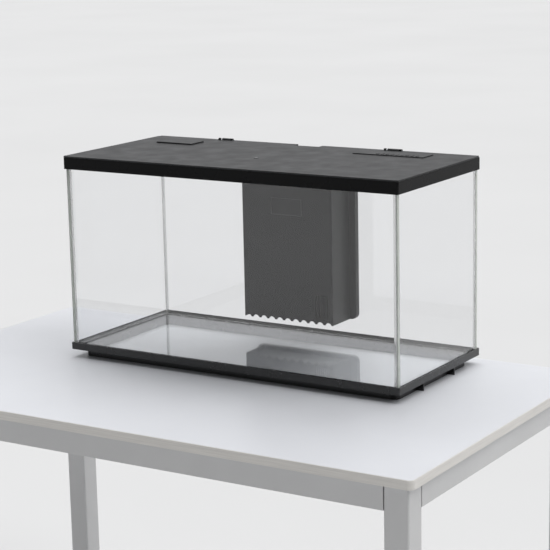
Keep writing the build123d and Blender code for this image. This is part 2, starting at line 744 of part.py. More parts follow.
def grille_slots(z):
    y = (CASE_Y[0] - PAST, CASE_Y[0] + CASE_T + PAST)
    return [block((x - SLOT_W / 2, x + SLOT_W / 2), y, z) for x in spread(SLOTS, GRILLE_X)]


def filter_case():
    """Open-backed, open-topped case: front, sides and floor, with slots and a scalloped lower edge."""
    outer = block(CASE_X, CASE_Y, CASE_Z)
    front_edges = outer.edges().filter_by(Axis.Z).group_by(Axis.Y)[0]
    outer = fillet(front_edges, CASE_R)
    inner_x = (CASE_X[0] + CASE_T, CASE_X[1] - CASE_T)
    inner_y = (CASE_Y[0] + CASE_T, CASE_Y[1] + PAST)
    through_front = (CASE_Y[0] - PAST, CASE_Y[0] + CASE_T + PAST)
    case = outer - block(inner_x, inner_y, (FLOOR_Z[1], CASE_Z[1] + PAST))
    case -= block(inner_x, inner_y, (CASE_Z[0] - PAST, FLOOR_Z[0]))
    for x in spread(ARCHES, CASE_X):
        case -= rod_y(ARCH_R, x, through_front, CASE_Z[0] + ARCH_RISE - ARCH_R)
    for cut in grille_slots(GRILLE_LOW) + grille_slots(GRILLE_HIGH):
        case -= cut
    groove_y = (CASE_Y[0] - PAST, CASE_Y[0] + PANEL_DEPTH)
    inset_x = (PANEL_X[0] + PANEL_GROOVE, PANEL_X[1] - PANEL_GROOVE)
    inset_z = (PANEL_Z[0] + PANEL_GROOVE, PANEL_Z[1] - PANEL_GROOVE)
    case -= block(PANEL_X, groove_y, PANEL_Z) - block(inset_x, groove_y, inset_z)
    return case - rod_y(PIPE_R, PUMP_XY[0], through_front, PIPE_Z)


def filter_back_plate():
    """Wider rear tray, which closes the case and stands on the glass by its pads."""
    width = PLATE_X[1] - PLATE_X[0]
    height = PLATE_Z[1] - PLATE_Z[0]
    centre = Pos((PLATE_X[0] + PLATE_X[1]) / 2, PLATE_Y[1], (PLATE_Z[0] + PLATE_Z[1]) / 2)
    depth = PLATE_Y[1] - PLATE_Y[0]
    tray = extrude(RectangleRounded(width, height, PLATE_R), depth)
    hollow = extrude(RectangleRounded(width - 2 * PLATE_T, height - 2 * PLATE_T, PLATE_R - PLATE_T),
                     depth - PLATE_T)
    return centre * ALONG_Y * (tray - hollow)


def filter_mount_pads():
    y = (PLATE_Y[0] + PLATE_T, INNER_Y)
    return group(rod_y(PAD_R, x, y, z) for x in PAD_X for z in PAD_Z)


def filter_partitions():
    """Upright walls between the three chambers, slotted at the bottom or the top for the flow."""
    walls = []
    for i, x in enumerate(WALL_X):
        y = (CASE_Y[0] + CASE_T + WALL_GAP, CASE_Y[1])
        wall = block((x - WALL_T / 2, x + WALL_T / 2), y, (FLOOR_Z[1], WALL_TOP))
        slot_top = WALL_TOP - FLOW_FROM_TOP if i else FLOOR_Z[1] + FLOW_FROM_FLOOR + FLOW_SLOT_H
        for slot_y in spread(FLOW_SLOTS, (y[0] + FLOW_SLOT_END, y[1] - FLOW_SLOT_END)):
            across = (slot_y - FLOW_SLOT_W / 2, slot_y + FLOW_SLOT_W / 2)
            wall -= block((x - WALL_T, x + WALL_T), across, (slot_top - FLOW_SLOT_H, slot_top))
        walls.append(wall)
    return group(walls)


CHAMBER_Y = (CASE_Y[0] + CASE_T + FOAM_GAP, CASE_Y[1] - FOAM_GAP)
INTAKE_X = (WALL_X[1] + WALL_T / 2 + FOAM_GAP, CASE_X[1] - CASE_T - FOAM_GAP)
MEDIA_X = (WALL_X[0] + WALL_T / 2 + FOAM_GAP, WALL_X[1] - WALL_T / 2 - FOAM_GAP)


def filter_sponge_coarse():
    return block(INTAKE_X, CHAMBER_Y, (FLOOR_Z[1], WALL_TOP - SPONGE_DROP))


def filter_sponge_fine():
    return block(MEDIA_X, CHAMBER_Y, (FLOOR_Z[1], BASKET_Z[0] - BASKET_REST))


def filter_media_basket():
    outer = block(MEDIA_X, CHAMBER_Y, BASKET_Z)
    inner_x = (MEDIA_X[0] + BASKET_T, MEDIA_X[1] - BASKET_T)
    inner_y = (CHAMBER_Y[0] + BASKET_T, CHAMBER_Y[1] - BASKET_T)
    basket = outer - block(inner_x, inner_y, (BASKET_Z[0] + BASKET_T, BASKET_Z[1] + PAST))
    slot_y = (inner_y[0] + BASKET_SLOT_END, inner_y[1] - BASKET_SLOT_END)
    slot_z = (BASKET_Z[0] - PAST, BASKET_Z[0] + BASKET_T + PAST)
    for x in spread(BASKET_SLOTS, inner_x):
        basket -= block((x - BASKET_SLOT_W / 2, x + BASKET_SLOT_W / 2), slot_y, slot_z)
    middle_y = (CHAMBER_Y[0] + CHAMBER_Y[1]) / 2
    reach = BAIL_W / 2
    bail = block(MEDIA_X, (middle_y - reach, middle_y + reach), (BASKET_Z[1] - BEDDED, BASKET_Z[1] + BAIL_H))
    hole_x = (MEDIA_X[0] + BAIL_T, MEDIA_X[1] - BAIL_T)
    hole_y = (middle_y - reach - PAST, middle_y + reach + PAST)
    return basket + bail - block(hole_x, hole_y, (BASKET_Z[1] - PAST, BASKET_Z[1] + BAIL_H - BAIL_T))


def filter_media_rings():
    """Ceramic rings, standing in layers in the basket."""
    inner_x = (MEDIA_X[0] + BASKET_T, MEDIA_X[1] - BASKET_T)
    inner_y = (CHAMBER_Y[0] + BASKET_T, CHAMBER_Y[1] - BASKET_T)
    rings = []
    for layer in range(RING_LAYERS):
        z0 = BASKET_Z[0] + BASKET_T + RING_REST + layer * (RING_MEDIA_L + RING_STACK_GAP)
        bore_z = (z0 - PAST, z0 + RING_MEDIA_L + PAST)
        for x in spread(RING_ROWS, inner_x):
            for y in spread(RING_ROWS, inner_y):
                ring = rod_z(RING_MEDIA_R, x, y, (z0, z0 + RING_MEDIA_L))
                rings.append(ring - rod_z(RING_MEDIA_BORE, x, y, bore_z))
    return group(rings)


def filter_pump_body():
    """Motor block with the rotor's well, the impeller's chamber and its outlet."""
    x, y = PUMP_XY
    half_x = PUMP_SIZE[0] / 2
    half_y = PUMP_SIZE[1] / 2
    top = PUMP_Z[1]
    body = block((x - half_x, x + half_x), (y - half_y, y + half_y), (PUMP_FLOOR, top))
    body = fillet(body.edges().filter_by(Axis.Z), PUMP_CORNER)
    chamber_z = (top - CHAMBER_DEPTH, top + PAST)
    body -= rod_z(CHAMBER_R, x, y, chamber_z)
    body -= rod_z(PIPE_BORE, x, PIPE_Y, chamber_z)
    well = (top - CHAMBER_DEPTH - ROTOR_L - ROTOR_GAP, top)
    body -= rod_z(ROTOR_R + ROTOR_GAP, x, y, well)
    return body - rod_z(SHAFT_R, x, y, (well[0] - SHAFT_SEAT, well[0] + PAST))


def filter_pump_cover():
    x, y = PUMP_XY
    half_x = PUMP_SIZE[0] / 2
    half_y = PUMP_SIZE[1] / 2
    z = (PUMP_Z[1], PUMP_Z[1] + COVER_T)
    cover = block((x - half_x, x + half_x), (y - half_y, y + half_y), z)
    cover = fillet(cover.edges().filter_by(Axis.Z), PUMP_CORNER)
    through = (z[0] - PAST, z[1] + PAST)
    cover -= rod_z(INLET_R, x, y, through)
    cover -= rod_z(PIPE_BORE, x, PIPE_Y, through)
    reach = INLET_R + BEDDED
    bridge = block((x - reach, x + reach), (y - BRIDGE_W / 2, y + BRIDGE_W / 2), z)
    hub = rod_z(HUB_R, x, y, z)
    return cover + bridge + hub - rod_z(SHAFT_R, x, y, (z[0] - PAST, z[0] + SHAFT_SEAT))


def filter_impeller():
    """Rotor magnet with bladed wheel on top; turns on the fixed shaft."""
    x, y = PUMP_XY
    floor = PUMP_Z[1] - CHAMBER_DEPTH
    rotor = rod_z(ROTOR_R, x, y, (floor - ROTOR_L, floor + ROTOR_INTO))
    rotor += rod_z(WHEEL_HUB_R, x, y, (floor + WHEEL_GAP, PUMP_Z[1] - WHEEL_GAP))
    blade_z = (floor + WHEEL_GAP, PUMP_Z[1] - BLADE_TOP_GAP)
    for i in range(BLADES):
        blade = block((BLADE_ROOT, BLADE_R), (-BLADE_T / 2, BLADE_T / 2), blade_z)
        rotor += Pos(x, y, 0) * Rotation(0, 0, 360 / BLADES * i) * blade
    return rotor - rod_z(SHAFT_R + PIN_GAP, x, y, (floor - ROTOR_L - PAST, PUMP_Z[1]))


def filter_impeller_shaft():
    x, y = PUMP_XY
    well_floor = PUMP_Z[1] - CHAMBER_DEPTH - ROTOR_L - ROTOR_GAP
    return rod_z(SHAFT_R, x, y, (well_floor - SHAFT_SEAT, PUMP_Z[1] + SHAFT_SEAT))


def pipe_shape(radius, ends):
    """A round bar up from the pump and forward through the case."""
    x = PUMP_XY[0]
    path = FilletPolyline((x, PIPE_Y, ends[0]), (x, PIPE_Y, PIPE_Z), (x, ends[1], PIPE_Z), radius=PIPE_BEND)
    return sweep(Pos(x, PIPE_Y, ends[0]) * Circle(radius), path)


def filter_outlet_pipe():
    bottom = PUMP_Z[1] + COVER_T
    return pipe_shape(PIPE_R, (bottom, PIPE_END)) - pipe_shape(PIPE_BORE, (bottom, PIPE_END))


def spout_shape(radius, flat):
    """Round at the knee, flattened at the mouth."""
    knee = Pos(PUMP_XY[0], NOZZLE_FRONT, PIPE_Z) * Rotation(0, 0, -NOZZLE_ANGLE)
    round_end = ALONG_Y * Circle(radius)
    flat_end = Pos(0, -NOZZLE_LEN, 0) * ALONG_Y * RectangleRounded(*flat)
    return knee * loft([round_end, flat_end])


def filter_nozzle():
    """Swivelling outlet: a sleeve on the pipe's end and a spout that points to one side."""
    x = PUMP_XY[0]
    sleeve_r = PIPE_R + NOZZLE_WALL
    knee = Pos(x, NOZZLE_FRONT, PIPE_Z)
    outer = rod_y(sleeve_r, x, (NOZZLE_FRONT, NOZZLE_BACK), PIPE_Z) + knee * Sphere(sleeve_r)
    outer += spout_shape(sleeve_r - SPOUT_STEP, SPOUT_OUTER)
    inner = rod_y(PIPE_R + PIN_GAP, x, (PIPE_END - PAST, NOZZLE_BACK + PAST), PIPE_Z)
    inner += rod_y(PIPE_BORE, x, (NOZZLE_FRONT, PIPE_END), PIPE_Z) + knee * Sphere(PIPE_BORE + KNEE_GAP)
    inner += spout_shape(PIPE_BORE, SPOUT_INNER)
    return outer - inner


def heater_tube():
    x, y = HEATER_XY
    glass = rod_z(HEATER_R, x, y, HEATER_Z)
    glass = fillet(glass.edges().group_by(Axis.Z)[0], HEATER_TIP_R)
    return glass - rod_z(HEATER_R - HEATER_WALL, x, y, (HEATER_Z[0] + HEATER_R, HEATER_Z[1] + PAST))


def heater_element():
    """Ceramic former that carries the winding, inside the glass."""
    x, y = HEATER_XY
    bottom = HEATER_Z[0] + HEATER_R + ELEMENT_LIFT
    return rod_z(HEATER_R - HEATER_WALL - ELEMENT_GAP, x, y, (bottom, HEATER_Z[1]))


def heater_cap():
    x, y = HEATER_XY
    top = HEATER_Z[1] + HEATER_CAP_L
    cap = rod_z(HEATER_CAP_R, x, y, (HEATER_Z[1], top))
    cap = fillet(cap.edges().group_by(Axis.Z)[-1], HEATER_CAP_EDGE)
    return cap - rod_z(DIAL_STEM_R + PIN_GAP, x, y, (top - DIAL_STEM_L - DIAL_STEM_SPARE, top + PAST))


def heater_bracket():
    """Two snap rings on arms from the chamber wall."""
    x, y = HEATER_XY
    parts = []
    arm_y = (y - BRACKET_W / 2, y + BRACKET_W / 2)
    for bottom in BRACKET_Z:
        z = (bottom, bottom + BRACKET_H)
        ring = rod_z(HEATER_R + BRACKET_T, x, y, z) + block((x, WALL_X[0] - WALL_T / 2), arm_y, z)
        parts.append(ring - rod_z(HEATER_R, x, y, (z[0] - PAST, z[1] + PAST)))
    return group(parts)


def heater_dial():
    """Fluted temperature knob with a pointer rib."""
    x, y = HEATER_XY
    bottom = HEATER_Z[1] + HEATER_CAP_L + DIAL_LIFT
    top = bottom + DIAL_L
    knob = rod_z(DIAL_R, 0, 0, (bottom, top))
    knob = fillet(knob.edges().group_by(Axis.Z)[-1], DIAL_EDGE)
    flute = rod_z(FLUTE_R, DIAL_R + FLUTE_OUT, 0, (bottom - PAST, top - FLUTE_TOP))
    for i in range(FLUTES):
        knob -= Rotation(0, 0, 360 / FLUTES * i) * flute
    pointer_y = (-DIAL_R + POINTER_IN, 0)
    knob += block((-POINTER_W / 2, POINTER_W / 2), pointer_y, (top - BEDDED, top + POINTER_H))
    return Pos(x, y, 0) * (knob + rod_z(DIAL_STEM_R, 0, 0, (bottom - DIAL_STEM_L, bottom + BEDDED)))


# ---- output ----------------------------------------------------------------------------------
def write_stand():
    write("stand_top", stand_top())
    write("stand_edge_band", stand_edge_band())
    for side, rail in stand_rails().items():
        write("stand_rail_" + side, rail)
    places = corners(LEG_DX, LEG_DY)
    for name, (x, y) in zip(CORNER_NAMES, places):
        write("stand_leg_" + name, stand_leg(x, y))
        write("stand_foot_" + name, stand_foot(x, y))
    write("stand_leg_inserts", group(stand_leg_insert(x, y) for x, y in places))
    write("stand_lock_nuts", group(stand_lock_nut(x, y) for x, y in places))
    write("stand_gussets", group(stand_gusset(sx, sy) for sx, sy in corners(1, 1)))
    write("stand_screws", group(stand_screw(x, y) for x, y in gusset_screw_places()))


def write_tank():
    write_in_tank("tank_base_frame", tank_base_frame())
    for side, pane in glass_panes().items():
        write_in_tank("tank_pane_" + side, pane)
    write_in_tank("tank_corner_seams", tank_corner_seams())
    write_in_tank("tank_bottom_seam", tank_bottom_seam())
    write_in_tank("tank_rim_frame", tank_rim_frame())
    write_in_tank("tank_hinge_pins", tank_hinge_pins())


def write_lid():
    write_in_tank("lid_panel", lid_panel())
    write_in_tank("lid_feed_hatch", hatch_flap(FEED_HATCH))
    write_in_tank("lid_care_hatch", care_hatch())
    write_in_tank("lid_hatch_pins", lid_hatch_pins())
    write_in_tank("lid_switch_block", lid_switch_block())
    write_in_tank("lid_light_button", lid_light_button())
    write_in_tank("lamp_housing", lamp_housing())
    write_in_tank("lamp_lens", lamp_lens())
    write_in_tank("lamp_board", lamp_board())
    write_in_tank("lamp_leds", lamp_leds())
    write_in_tank("lamp_end_caps", lamp_end_caps())
    write_in_tank("lamp_clips", lamp_clips())


def write_filter():
    write_in_tank("filter_case", filter_case())
    write_in_tank("filter_back_plate", filter_back_plate())
    write_in_tank("filter_mount_pads", filter_mount_pads())
    write_in_tank("filter_partitions", filter_partitions())
    write_in_tank("filter_sponge_coarse", filter_sponge_coarse())
    write_in_tank("filter_sponge_fine", filter_sponge_fine())
    write_in_tank("filter_media_basket", filter_media_basket())
    write_in_tank("filter_media_rings", filter_media_rings())
    write_in_tank("filter_pump_body", filter_pump_body())
    write_in_tank("filter_pump_cover", filter_pump_cover())
    write_in_tank("filter_impeller", filter_impeller())
    write_in_tank("filter_impeller_shaft", filter_impeller_shaft())
    write_in_tank("filter_outlet_pipe", filter_outlet_pipe())
    write_in_tank("filter_nozzle", filter_nozzle())
    write_in_tank("heater_tube", heater_tube())
    write_in_tank("heater_element", heater_element())
    write_in_tank("heater_cap", heater_cap())
    write_in_tank("heater_bracket", heater_bracket())
    write_in_tank("heater_dial", heater_dial())


os.makedirs(PARTS, exist_ok=True)
write_stand()
write_tank()
write_lid()
write_filter()
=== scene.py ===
import bmesh
import bpy
import json
from math import cos, pi, radians, sin
from mathutils import Matrix, Vector, noise


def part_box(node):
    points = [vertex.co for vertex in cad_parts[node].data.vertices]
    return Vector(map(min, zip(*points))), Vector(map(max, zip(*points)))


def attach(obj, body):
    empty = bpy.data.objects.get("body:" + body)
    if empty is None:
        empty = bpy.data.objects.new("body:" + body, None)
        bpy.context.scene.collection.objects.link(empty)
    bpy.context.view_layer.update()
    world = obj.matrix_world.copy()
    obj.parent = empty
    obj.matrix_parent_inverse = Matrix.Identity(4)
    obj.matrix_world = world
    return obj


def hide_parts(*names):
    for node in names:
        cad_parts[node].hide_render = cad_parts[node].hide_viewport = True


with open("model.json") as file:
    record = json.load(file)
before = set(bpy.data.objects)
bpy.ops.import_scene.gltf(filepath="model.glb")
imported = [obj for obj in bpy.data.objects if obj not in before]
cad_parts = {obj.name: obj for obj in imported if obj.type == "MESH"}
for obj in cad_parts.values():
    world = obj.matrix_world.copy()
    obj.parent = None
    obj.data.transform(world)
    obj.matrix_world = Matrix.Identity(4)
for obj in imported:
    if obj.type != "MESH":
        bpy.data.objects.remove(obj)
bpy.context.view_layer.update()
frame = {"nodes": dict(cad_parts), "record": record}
nodes = frame["nodes"]

MM = 0.001
WELD_GAP = 0.01 * MM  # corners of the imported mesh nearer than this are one
APART = 0.02 * MM  # clear pieces whose faces meet are drawn this far inside them
SHARP = radians(35)  # edges that turn more than this are rounded
WEAR_AND_HIGHLIGHT_REACH = 0.9 * MM  # how far the lighter edges reach from an edge of moulded plastic: partly wear, partly a painted highlight
CLEAR_GREEN = (0.42, 0.80, 0.62, 1.0)  # what float glass leaves of white light along its length
FLOAT_DENSITY = 0.35
LAMP_TINT = (0.975, 0.98, 0.977, 1)  # lamp light after one face of a clear piece of glass


# ---- node trees --------------------------------------------------------------------------------
class Surface:
    """A material with one Principled shader, and short calls that feed its sockets."""

    def __init__(self, name, **values):
        self.mat = bpy.data.materials.new(name)
        self.mat.use_nodes = True
        self.tree = self.mat.node_tree
        self.tree.nodes.clear()
        self.out = self.tree.nodes.new("ShaderNodeOutputMaterial")
        self.shader = self.tree.nodes.new("ShaderNodeBsdfPrincipled")
        self.link(self.shader.outputs[0], self.out.inputs["Surface"])
        for socket, value in values.items():
            self.shader.inputs[socket.replace("_", " ")].default_value = value
        self.coords = self.tree.nodes.new("ShaderNodeTexCoord").outputs["Object"]

    def link(self, source, target):
        self.tree.links.new(source, target)

    def node(self, kind, inputs=None, **settings):
        made = self.tree.nodes.new("ShaderNode" + kind)
        for key, value in settings.items():
            setattr(made, key, value)
        for key, value in (inputs or {}).items():
            if isinstance(value, bpy.types.NodeSocket):
                self.link(value, made.inputs[key])
            else:
                made.inputs[key].default_value = value
        return made

    def stretched(self, scale):
        """Object coordinates scaled axis by axis, which draws noise out into streaks."""
        return self.node("Mapping", {"Vector": self.coords, "Scale": scale}).outputs[0]

    def noise(self, scale, detail=3.0, vector=None):
        inputs = {"Vector": vector or self.coords, "Scale": scale, "Detail": detail}
        return self.node("TexNoise", inputs).outputs[0]

    def span(self, value, low, high, start=0.3, end=0.7):
        """Maps start..end, the middle of a noise unless told otherwise, to low..high."""
        inputs = {"Value": value, "From Min": start, "From Max": end, "To Min": low, "To Max": high}
        return self.node("MapRange", inputs).outputs[0]

    def blend(self, factor, first, second):
        made = self.node("Mix", data_type="RGBA")
        for index, value in ((0, factor), (6, first), (7, second)):
            if isinstance(value, bpy.types.NodeSocket):
                self.link(value, made.inputs[index])
            else:
                made.inputs[index].default_value = value
        return made.outputs[2]

    def maths(self, operation, first, second):
        return self.node("Math", {0: first, 1: second}, operation=operation).outputs[0]

    def colour(self, socket):
        self.link(socket, self.shader.inputs["Base Color"])

    def rough(self, socket):
        self.link(socket, self.shader.inputs["Roughness"])

    def bump(self, height, depth):
        made = self.node("Bump", {"Height": height, "Distance": depth, "Strength": 1.0})
        self.link(made.outputs[0], self.shader.inputs["Normal"])

    def edges(self, radius):
        """1 along the edges within this radius, 0 on the flats."""
        soft = self.node("Bevel", {"Radius": radius}, samples=4).outputs[0]
        flat = self.node("NewGeometry").outputs["Normal"]
        dot = self.node("VectorMath", {0: soft, 1: flat}, operation="DOT_PRODUCT").outputs["Value"]
        return self.span(dot, 1.0, 0.0, 0.86, 0.995)


def rgb(value, tint=(1.0, 1.0, 1.0)):
    """A grey of this brightness, tinted."""
    return (value * tint[0], value * tint[1], value * tint[2], 1.0)


COOL = (0.97, 0.985, 1.03)  # a little blue; WARM a little yellow
WARM = (1.03, 1.0, 0.95)


# ---- materials ---------------------------------------------------------------------------------
def plastic(name, tone, rough, grain=0.6 * MM, depth=0.004 * MM, tint=COOL, mottle=0.10, wear_and_highlight=1.5, **more):
    """Moulded plastic: fine grain, slow changes of tone and gloss, and edges painted lighter, partly as
    rubbed wear and partly as a painted highlight.
    """
    s = Surface(name, **more)
    cloud = s.noise(9.0)
    base = s.blend(s.span(cloud, 0.0, 1.0), rgb(tone * (1 - mottle), tint), rgb(tone * (1 + mottle), tint))
    # lighter edges: partly wear, partly a painted highlight along corners and rims
    rub_and_highlight = s.maths("MULTIPLY", s.edges(WEAR_AND_HIGHLIGHT_REACH), s.span(s.noise(60.0), 0.25, 0.8))
    s.colour(s.blend(rub_and_highlight, base, rgb(tone * (1 + wear_and_highlight), tint)))
    s.rough(s.span(s.noise(22.0, 5.0), rough * 0.88, rough * 1.14))
    s.bump(s.noise(1 / grain, 2.0), depth)
    return s.mat


def laminate():
    """White melamine board: a satin face with a faint pebble grain and a few specks of dust."""
    s = Surface("laminate", Specular_IOR_Level=0.3)
    speck = s.node("TexVoronoi", {"Vector": s.coords, "Scale": 26.0}).outputs["Distance"]
    dust = s.span(speck, 1.0, 0.0, 0.012, 0.028)
    patch = s.blend(s.span(s.noise(2.2), 0.0, 1.0), rgb(0.645, COOL), rgb(0.69, COOL))
    s.colour(s.blend(s.maths("MULTIPLY", dust, 0.35), patch, rgb(0.38)))
    s.rough(s.span(s.noise(7.0, 6.0), 0.30, 0.42))
    s.bump(s.noise(900.0, 2.0), 0.004 * MM)
    return s.mat


def edge_band():
    """Plastic edge strip, with fine streaks along its length."""
    s = Surface("edge_band")
    streak = s.noise(14.0, 4.0, s.stretched((1.0, 1.0, 30.0)))
    s.colour(s.blend(s.span(streak, 0.0, 1.0), rgb(0.62, WARM), rgb(0.70, WARM)))
    s.rough(s.span(s.noise(30.0), 0.34, 0.48))
    s.bump(s.noise(700.0, 2.0), 0.004 * MM)
    return s.mat


def powder_coat():
    """White powder coat: orange peel, and a slight unevenness of tone."""
    s = Surface("powder_coat", Coat_Weight=0.15, Coat_Roughness=0.2)
    s.colour(s.blend(s.span(s.noise(4.0, 5.0), 0.0, 1.0), rgb(0.55), rgb(0.60)))
    s.rough(s.span(s.noise(40.0), 0.34, 0.46))
    s.bump(s.noise(420.0, 2.0), 0.012 * MM)
    return s.mat


def metal(name, tone, rough, streaks=(1.0, 1.0, 1.0), tint=COOL):
    """Metal with brushing that runs along the axis with the smallest number."""
    s = Surface(name, Metallic=1.0)
    lines = s.noise(900.0, 3.0, s.stretched(streaks))
    s.colour(s.blend(s.span(lines, 0.0, 1.0), rgb(tone * 0.86, tint), rgb(tone * 1.08, tint)))
    s.rough(s.span(s.noise(35.0, 4.0), rough * 0.8, rough * 1.25))
    s.bump(lines, 0.01 * MM)
    return s.mat


def lamps_pass(s, tint, shader):
    """Lets the light of lamps through a clear shader, as thin glass does."""
    lamp_ray = s.node("LightPath").outputs["Is Shadow Ray"]
    clear = s.node("BsdfTransparent", {"Color": tint})
    return s.node("MixShader", {0: lamp_ray, 1: shader, 2: clear.outputs[0]}).outputs[0]


def ground_edge(s, ior):
    """The pane's cut edge: ground, pale grey-green and only a little clear."""
    values = {"Transmission Weight": 0.35, "IOR": ior}
    values["Roughness"] = s.span(s.noise(160.0), 0.38, 0.50)
    streak = s.span(s.noise(40.0, 3.0), 0.0, 1.0)
    values["Base Color"] = s.blend(streak, (0.76, 0.82, 0.74, 1), (0.90, 0.94, 0.88, 1))
    return s.node("BsdfPrincipled", values).outputs[0]


def clear_glass(name, tint, density, ior=1.5, ground=None):
    """Glass, clear across and tinted along; its faces that look along axis number ground are ground."""
    s = Surface(name, Base_Color=(0.968, 0.97, 0.975, 1), Transmission_Weight=1.0, IOR=ior, Roughness=0.0)
    volume = s.node("VolumeAbsorption", {"Color": tint, "Density": density})
    s.link(volume.outputs[0], s.out.inputs["Volume"])
    face = s.shader.outputs[0]
    if ground is not None:
        facing = s.node("SeparateXYZ", {0: s.node("NewGeometry").outputs["True Normal"]}).outputs[ground]
        cut = s.maths("GREATER_THAN", s.maths("ABSOLUTE", facing, 0.0), 0.5)
        face = s.node("MixShader", {0: cut, 1: face, 2: ground_edge(s, ior)}).outputs[0]
    s.link(lamps_pass(s, LAMP_TINT, face), s.out.inputs["Surface"])
    return s.mat


def silicone(name, colour, through):
    """Silicone, faintly uneven; through is the share of light that it lets pass."""
    s = Surface(name, Transmission_Weight=through, IOR=1.41)
    s.colour(s.blend(s.span(s.noise(30.0), 0.0, 0.4), colour, rgb(0.9)))
    s.rough(s.span(s.noise(50.0), 0.10, 0.18))
    s.bump(s.noise(60.0, 2.0), 0.02 * MM)
    return s.mat


def foam(name, tone, pores, tint):
    """Open-cell foam: pores painted dark as shade in the hollows, between paler struts."""
    s = Surface(name, Roughness=0.95, Sheen_Weight=0.25)
    cell = s.node("TexVoronoi", {"Vector": s.coords, "Scale": pores}).outputs["Distance"]
    strut = s.span(cell, 0.0, 1.0, 0.12, 0.62)
    # painted shade: the pores are coloured dark for the shade that falls in them
    s.colour(s.blend(strut, rgb(tone * 0.25, tint), rgb(tone, tint)))
    s.bump(strut, 0.6 * MM)
    return s.mat


def ceramic(name, tone, rough):
    """Fired ceramic: mottled and finely pitted."""
    s = Surface(name)
    s.colour(s.blend(s.span(s.noise(90.0, 6.0), 0.0, 1.0), rgb(tone * 0.82, WARM), rgb(tone, WARM)))
    s.rough(s.span(s.noise(200.0), rough * 0.9, rough))
    s.bump(s.noise(1500.0, 3.0), 0.2 * MM)
    return s.mat


def circuit_board():
    """White solder mask with the copper tracks showing faintly through it."""
    s = Surface("circuit_board")
    tracks = s.node("TexBrick", {"Vector": s.coords, "Scale": 40.0, "Mortar Size": 0.03}).outputs["Fac"]
    s.colour(s.blend(tracks, rgb(0.80), rgb(0.62, WARM)))
    s.rough(s.span(s.noise(60.0), 0.3, 0.45))
    s.bump(tracks, 0.1 * MM)
    return s.mat


def diffuser(name, tone, tint):
    """Milky plastic or resin over a light source."""
    s = Surface(name, Transmission_Weight=0.25, IOR=1.49)
    s.colour(s.blend(s.span(s.noise(80.0), 0.0, 1.0), rgb(tone * 0.95, tint), rgb(tone, tint)))
    s.rough(s.span(s.noise(400.0), 0.38, 0.5))
    s.bump(s.noise(1800.0), 0.03 * MM)
    return s.mat


STUD_FROM = 14.2 * MM  # height over the floor above which the foot is bare steel
THREAD_SCALE = 126.0  # of the wave texture: one ridge every 2.5 mm


def levelling_foot():
    """Black moulded foot; above it the zinc-plated stud with its thread, whose grooves are painted darker
    as shade.
    """
    s = Surface("levelling_foot")
    z = s.node("SeparateXYZ", {0: s.coords}).outputs[2]
    stud = s.maths("GREATER_THAN", z, STUD_FROM)
    wave = {"Vector": s.coords, "Scale": THREAD_SCALE}
    ridge = s.node("TexWave", wave, bands_direction="Z").outputs["Fac"]
    # painted shade: the thread's grooves are coloured darker than its ridges
    s.colour(s.blend(stud, rgb(0.03), s.blend(ridge, rgb(0.35), rgb(0.62))))
    s.link(stud, s.shader.inputs["Metallic"])
    s.rough(s.span(s.noise(90.0), 0.3, 0.5))
    s.bump(s.maths("MULTIPLY", ridge, stud), 0.5 * MM)
    return s.mat


MATERIALS = {
    "stand_laminate": laminate(),
    "stand_band": edge_band(),
    "stand_steel": powder_coat(),
    "stand_black_plastic": plastic("insert_plastic", tone=0.03, rough=0.5),
    "zinc_steel": metal("zinc_steel", tone=0.62, rough=0.32),
    "foot_plastic": levelling_foot(),
    "float_glass": clear_glass("float_glass", CLEAR_GREEN, FLOAT_DENSITY, ground=0),
    "clear_silicone": silicone("clear_silicone", rgb(0.90), through=0.80),
    "base_plastic": plastic(
        "base_plastic", tone=0.008, rough=0.26, depth=0.002 * MM, mottle=0.05, wear_and_highlight=2.0,
        Specular_IOR_Level=0.60
    ),
    # the strongest lighter edges: a painted highlight along the skirt's corners, over a little wear
    "rim_plastic": plastic(
        "rim_plastic", tone=0.006, rough=0.28, depth=0.001 * MM, mottle=0.05, wear_and_highlight=6.0,
        Specular_IOR_Level=0.08
    ),
    "lid_plastic": plastic(
        "lid_plastic", tone=0.017, rough=0.46, grain=0.9 * MM, depth=0.008 * MM, mottle=0.05,
        Specular_IOR_Level=0.33
    ),
    "hatch_plastic": plastic(
        "hatch_plastic", tone=0.016, rough=0.44, grain=0.9 * MM, depth=0.008 * MM, Specular_IOR_Level=0.35
    ),
    "pin_steel": metal("pin_steel", tone=0.58, rough=0.25, streaks=(30.0, 1.0, 1.0)),
    "button_plastic": plastic("button_plastic", tone=0.02, rough=0.25, depth=0.001 * MM),
    "lamp_aluminium": metal("lamp_aluminium", tone=0.72, rough=0.35, streaks=(0.03, 1.0, 1.0)),
    "lamp_lens": diffuser("lamp_lens", tone=0.88, tint=COOL),
    "lamp_board": circuit_board(),
    "led_resin": diffuser("led_resin", tone=0.8, tint=(1.1, 1.0, 0.5)),
    "filter_plastic": plastic(
        "filter_plastic", tone=0.005, rough=0.36, grain=0.7 * MM, depth=0.001 * MM, mottle=0.05,
        Specular_IOR_Level=0.28
    ),
    "filter_inner_plastic": plastic("filter_inner_plastic", tone=0.030, rough=0.45),
    "ceramic": ceramic("media_ceramic", tone=0.74, rough=0.95),
    "pump_plastic": plastic("pump_plastic", tone=0.02, rough=0.28, depth=0.001 * MM),
    "impeller_plastic": plastic("impeller_plastic", tone=0.6, rough=0.35, wear_and_highlight=0.2),
    "shaft_ceramic": ceramic("shaft_ceramic", tone=0.82, rough=0.2),
    "pad_silicone": silicone("pad_silicone", rgb(0.06), through=0.0),
    "heater_glass": clear_glass("heater_glass", (0.7, 0.9, 0.85, 1.0), density=2.0, ior=1.47),
    "heater_ceramic": ceramic("heater_ceramic", tone=0.72, rough=0.8),
    "dial_plastic": plastic("dial_plastic", tone=0.3, rough=0.35, tint=(1.6, 0.18, 0.12), wear_and_highlight=0.4),
}
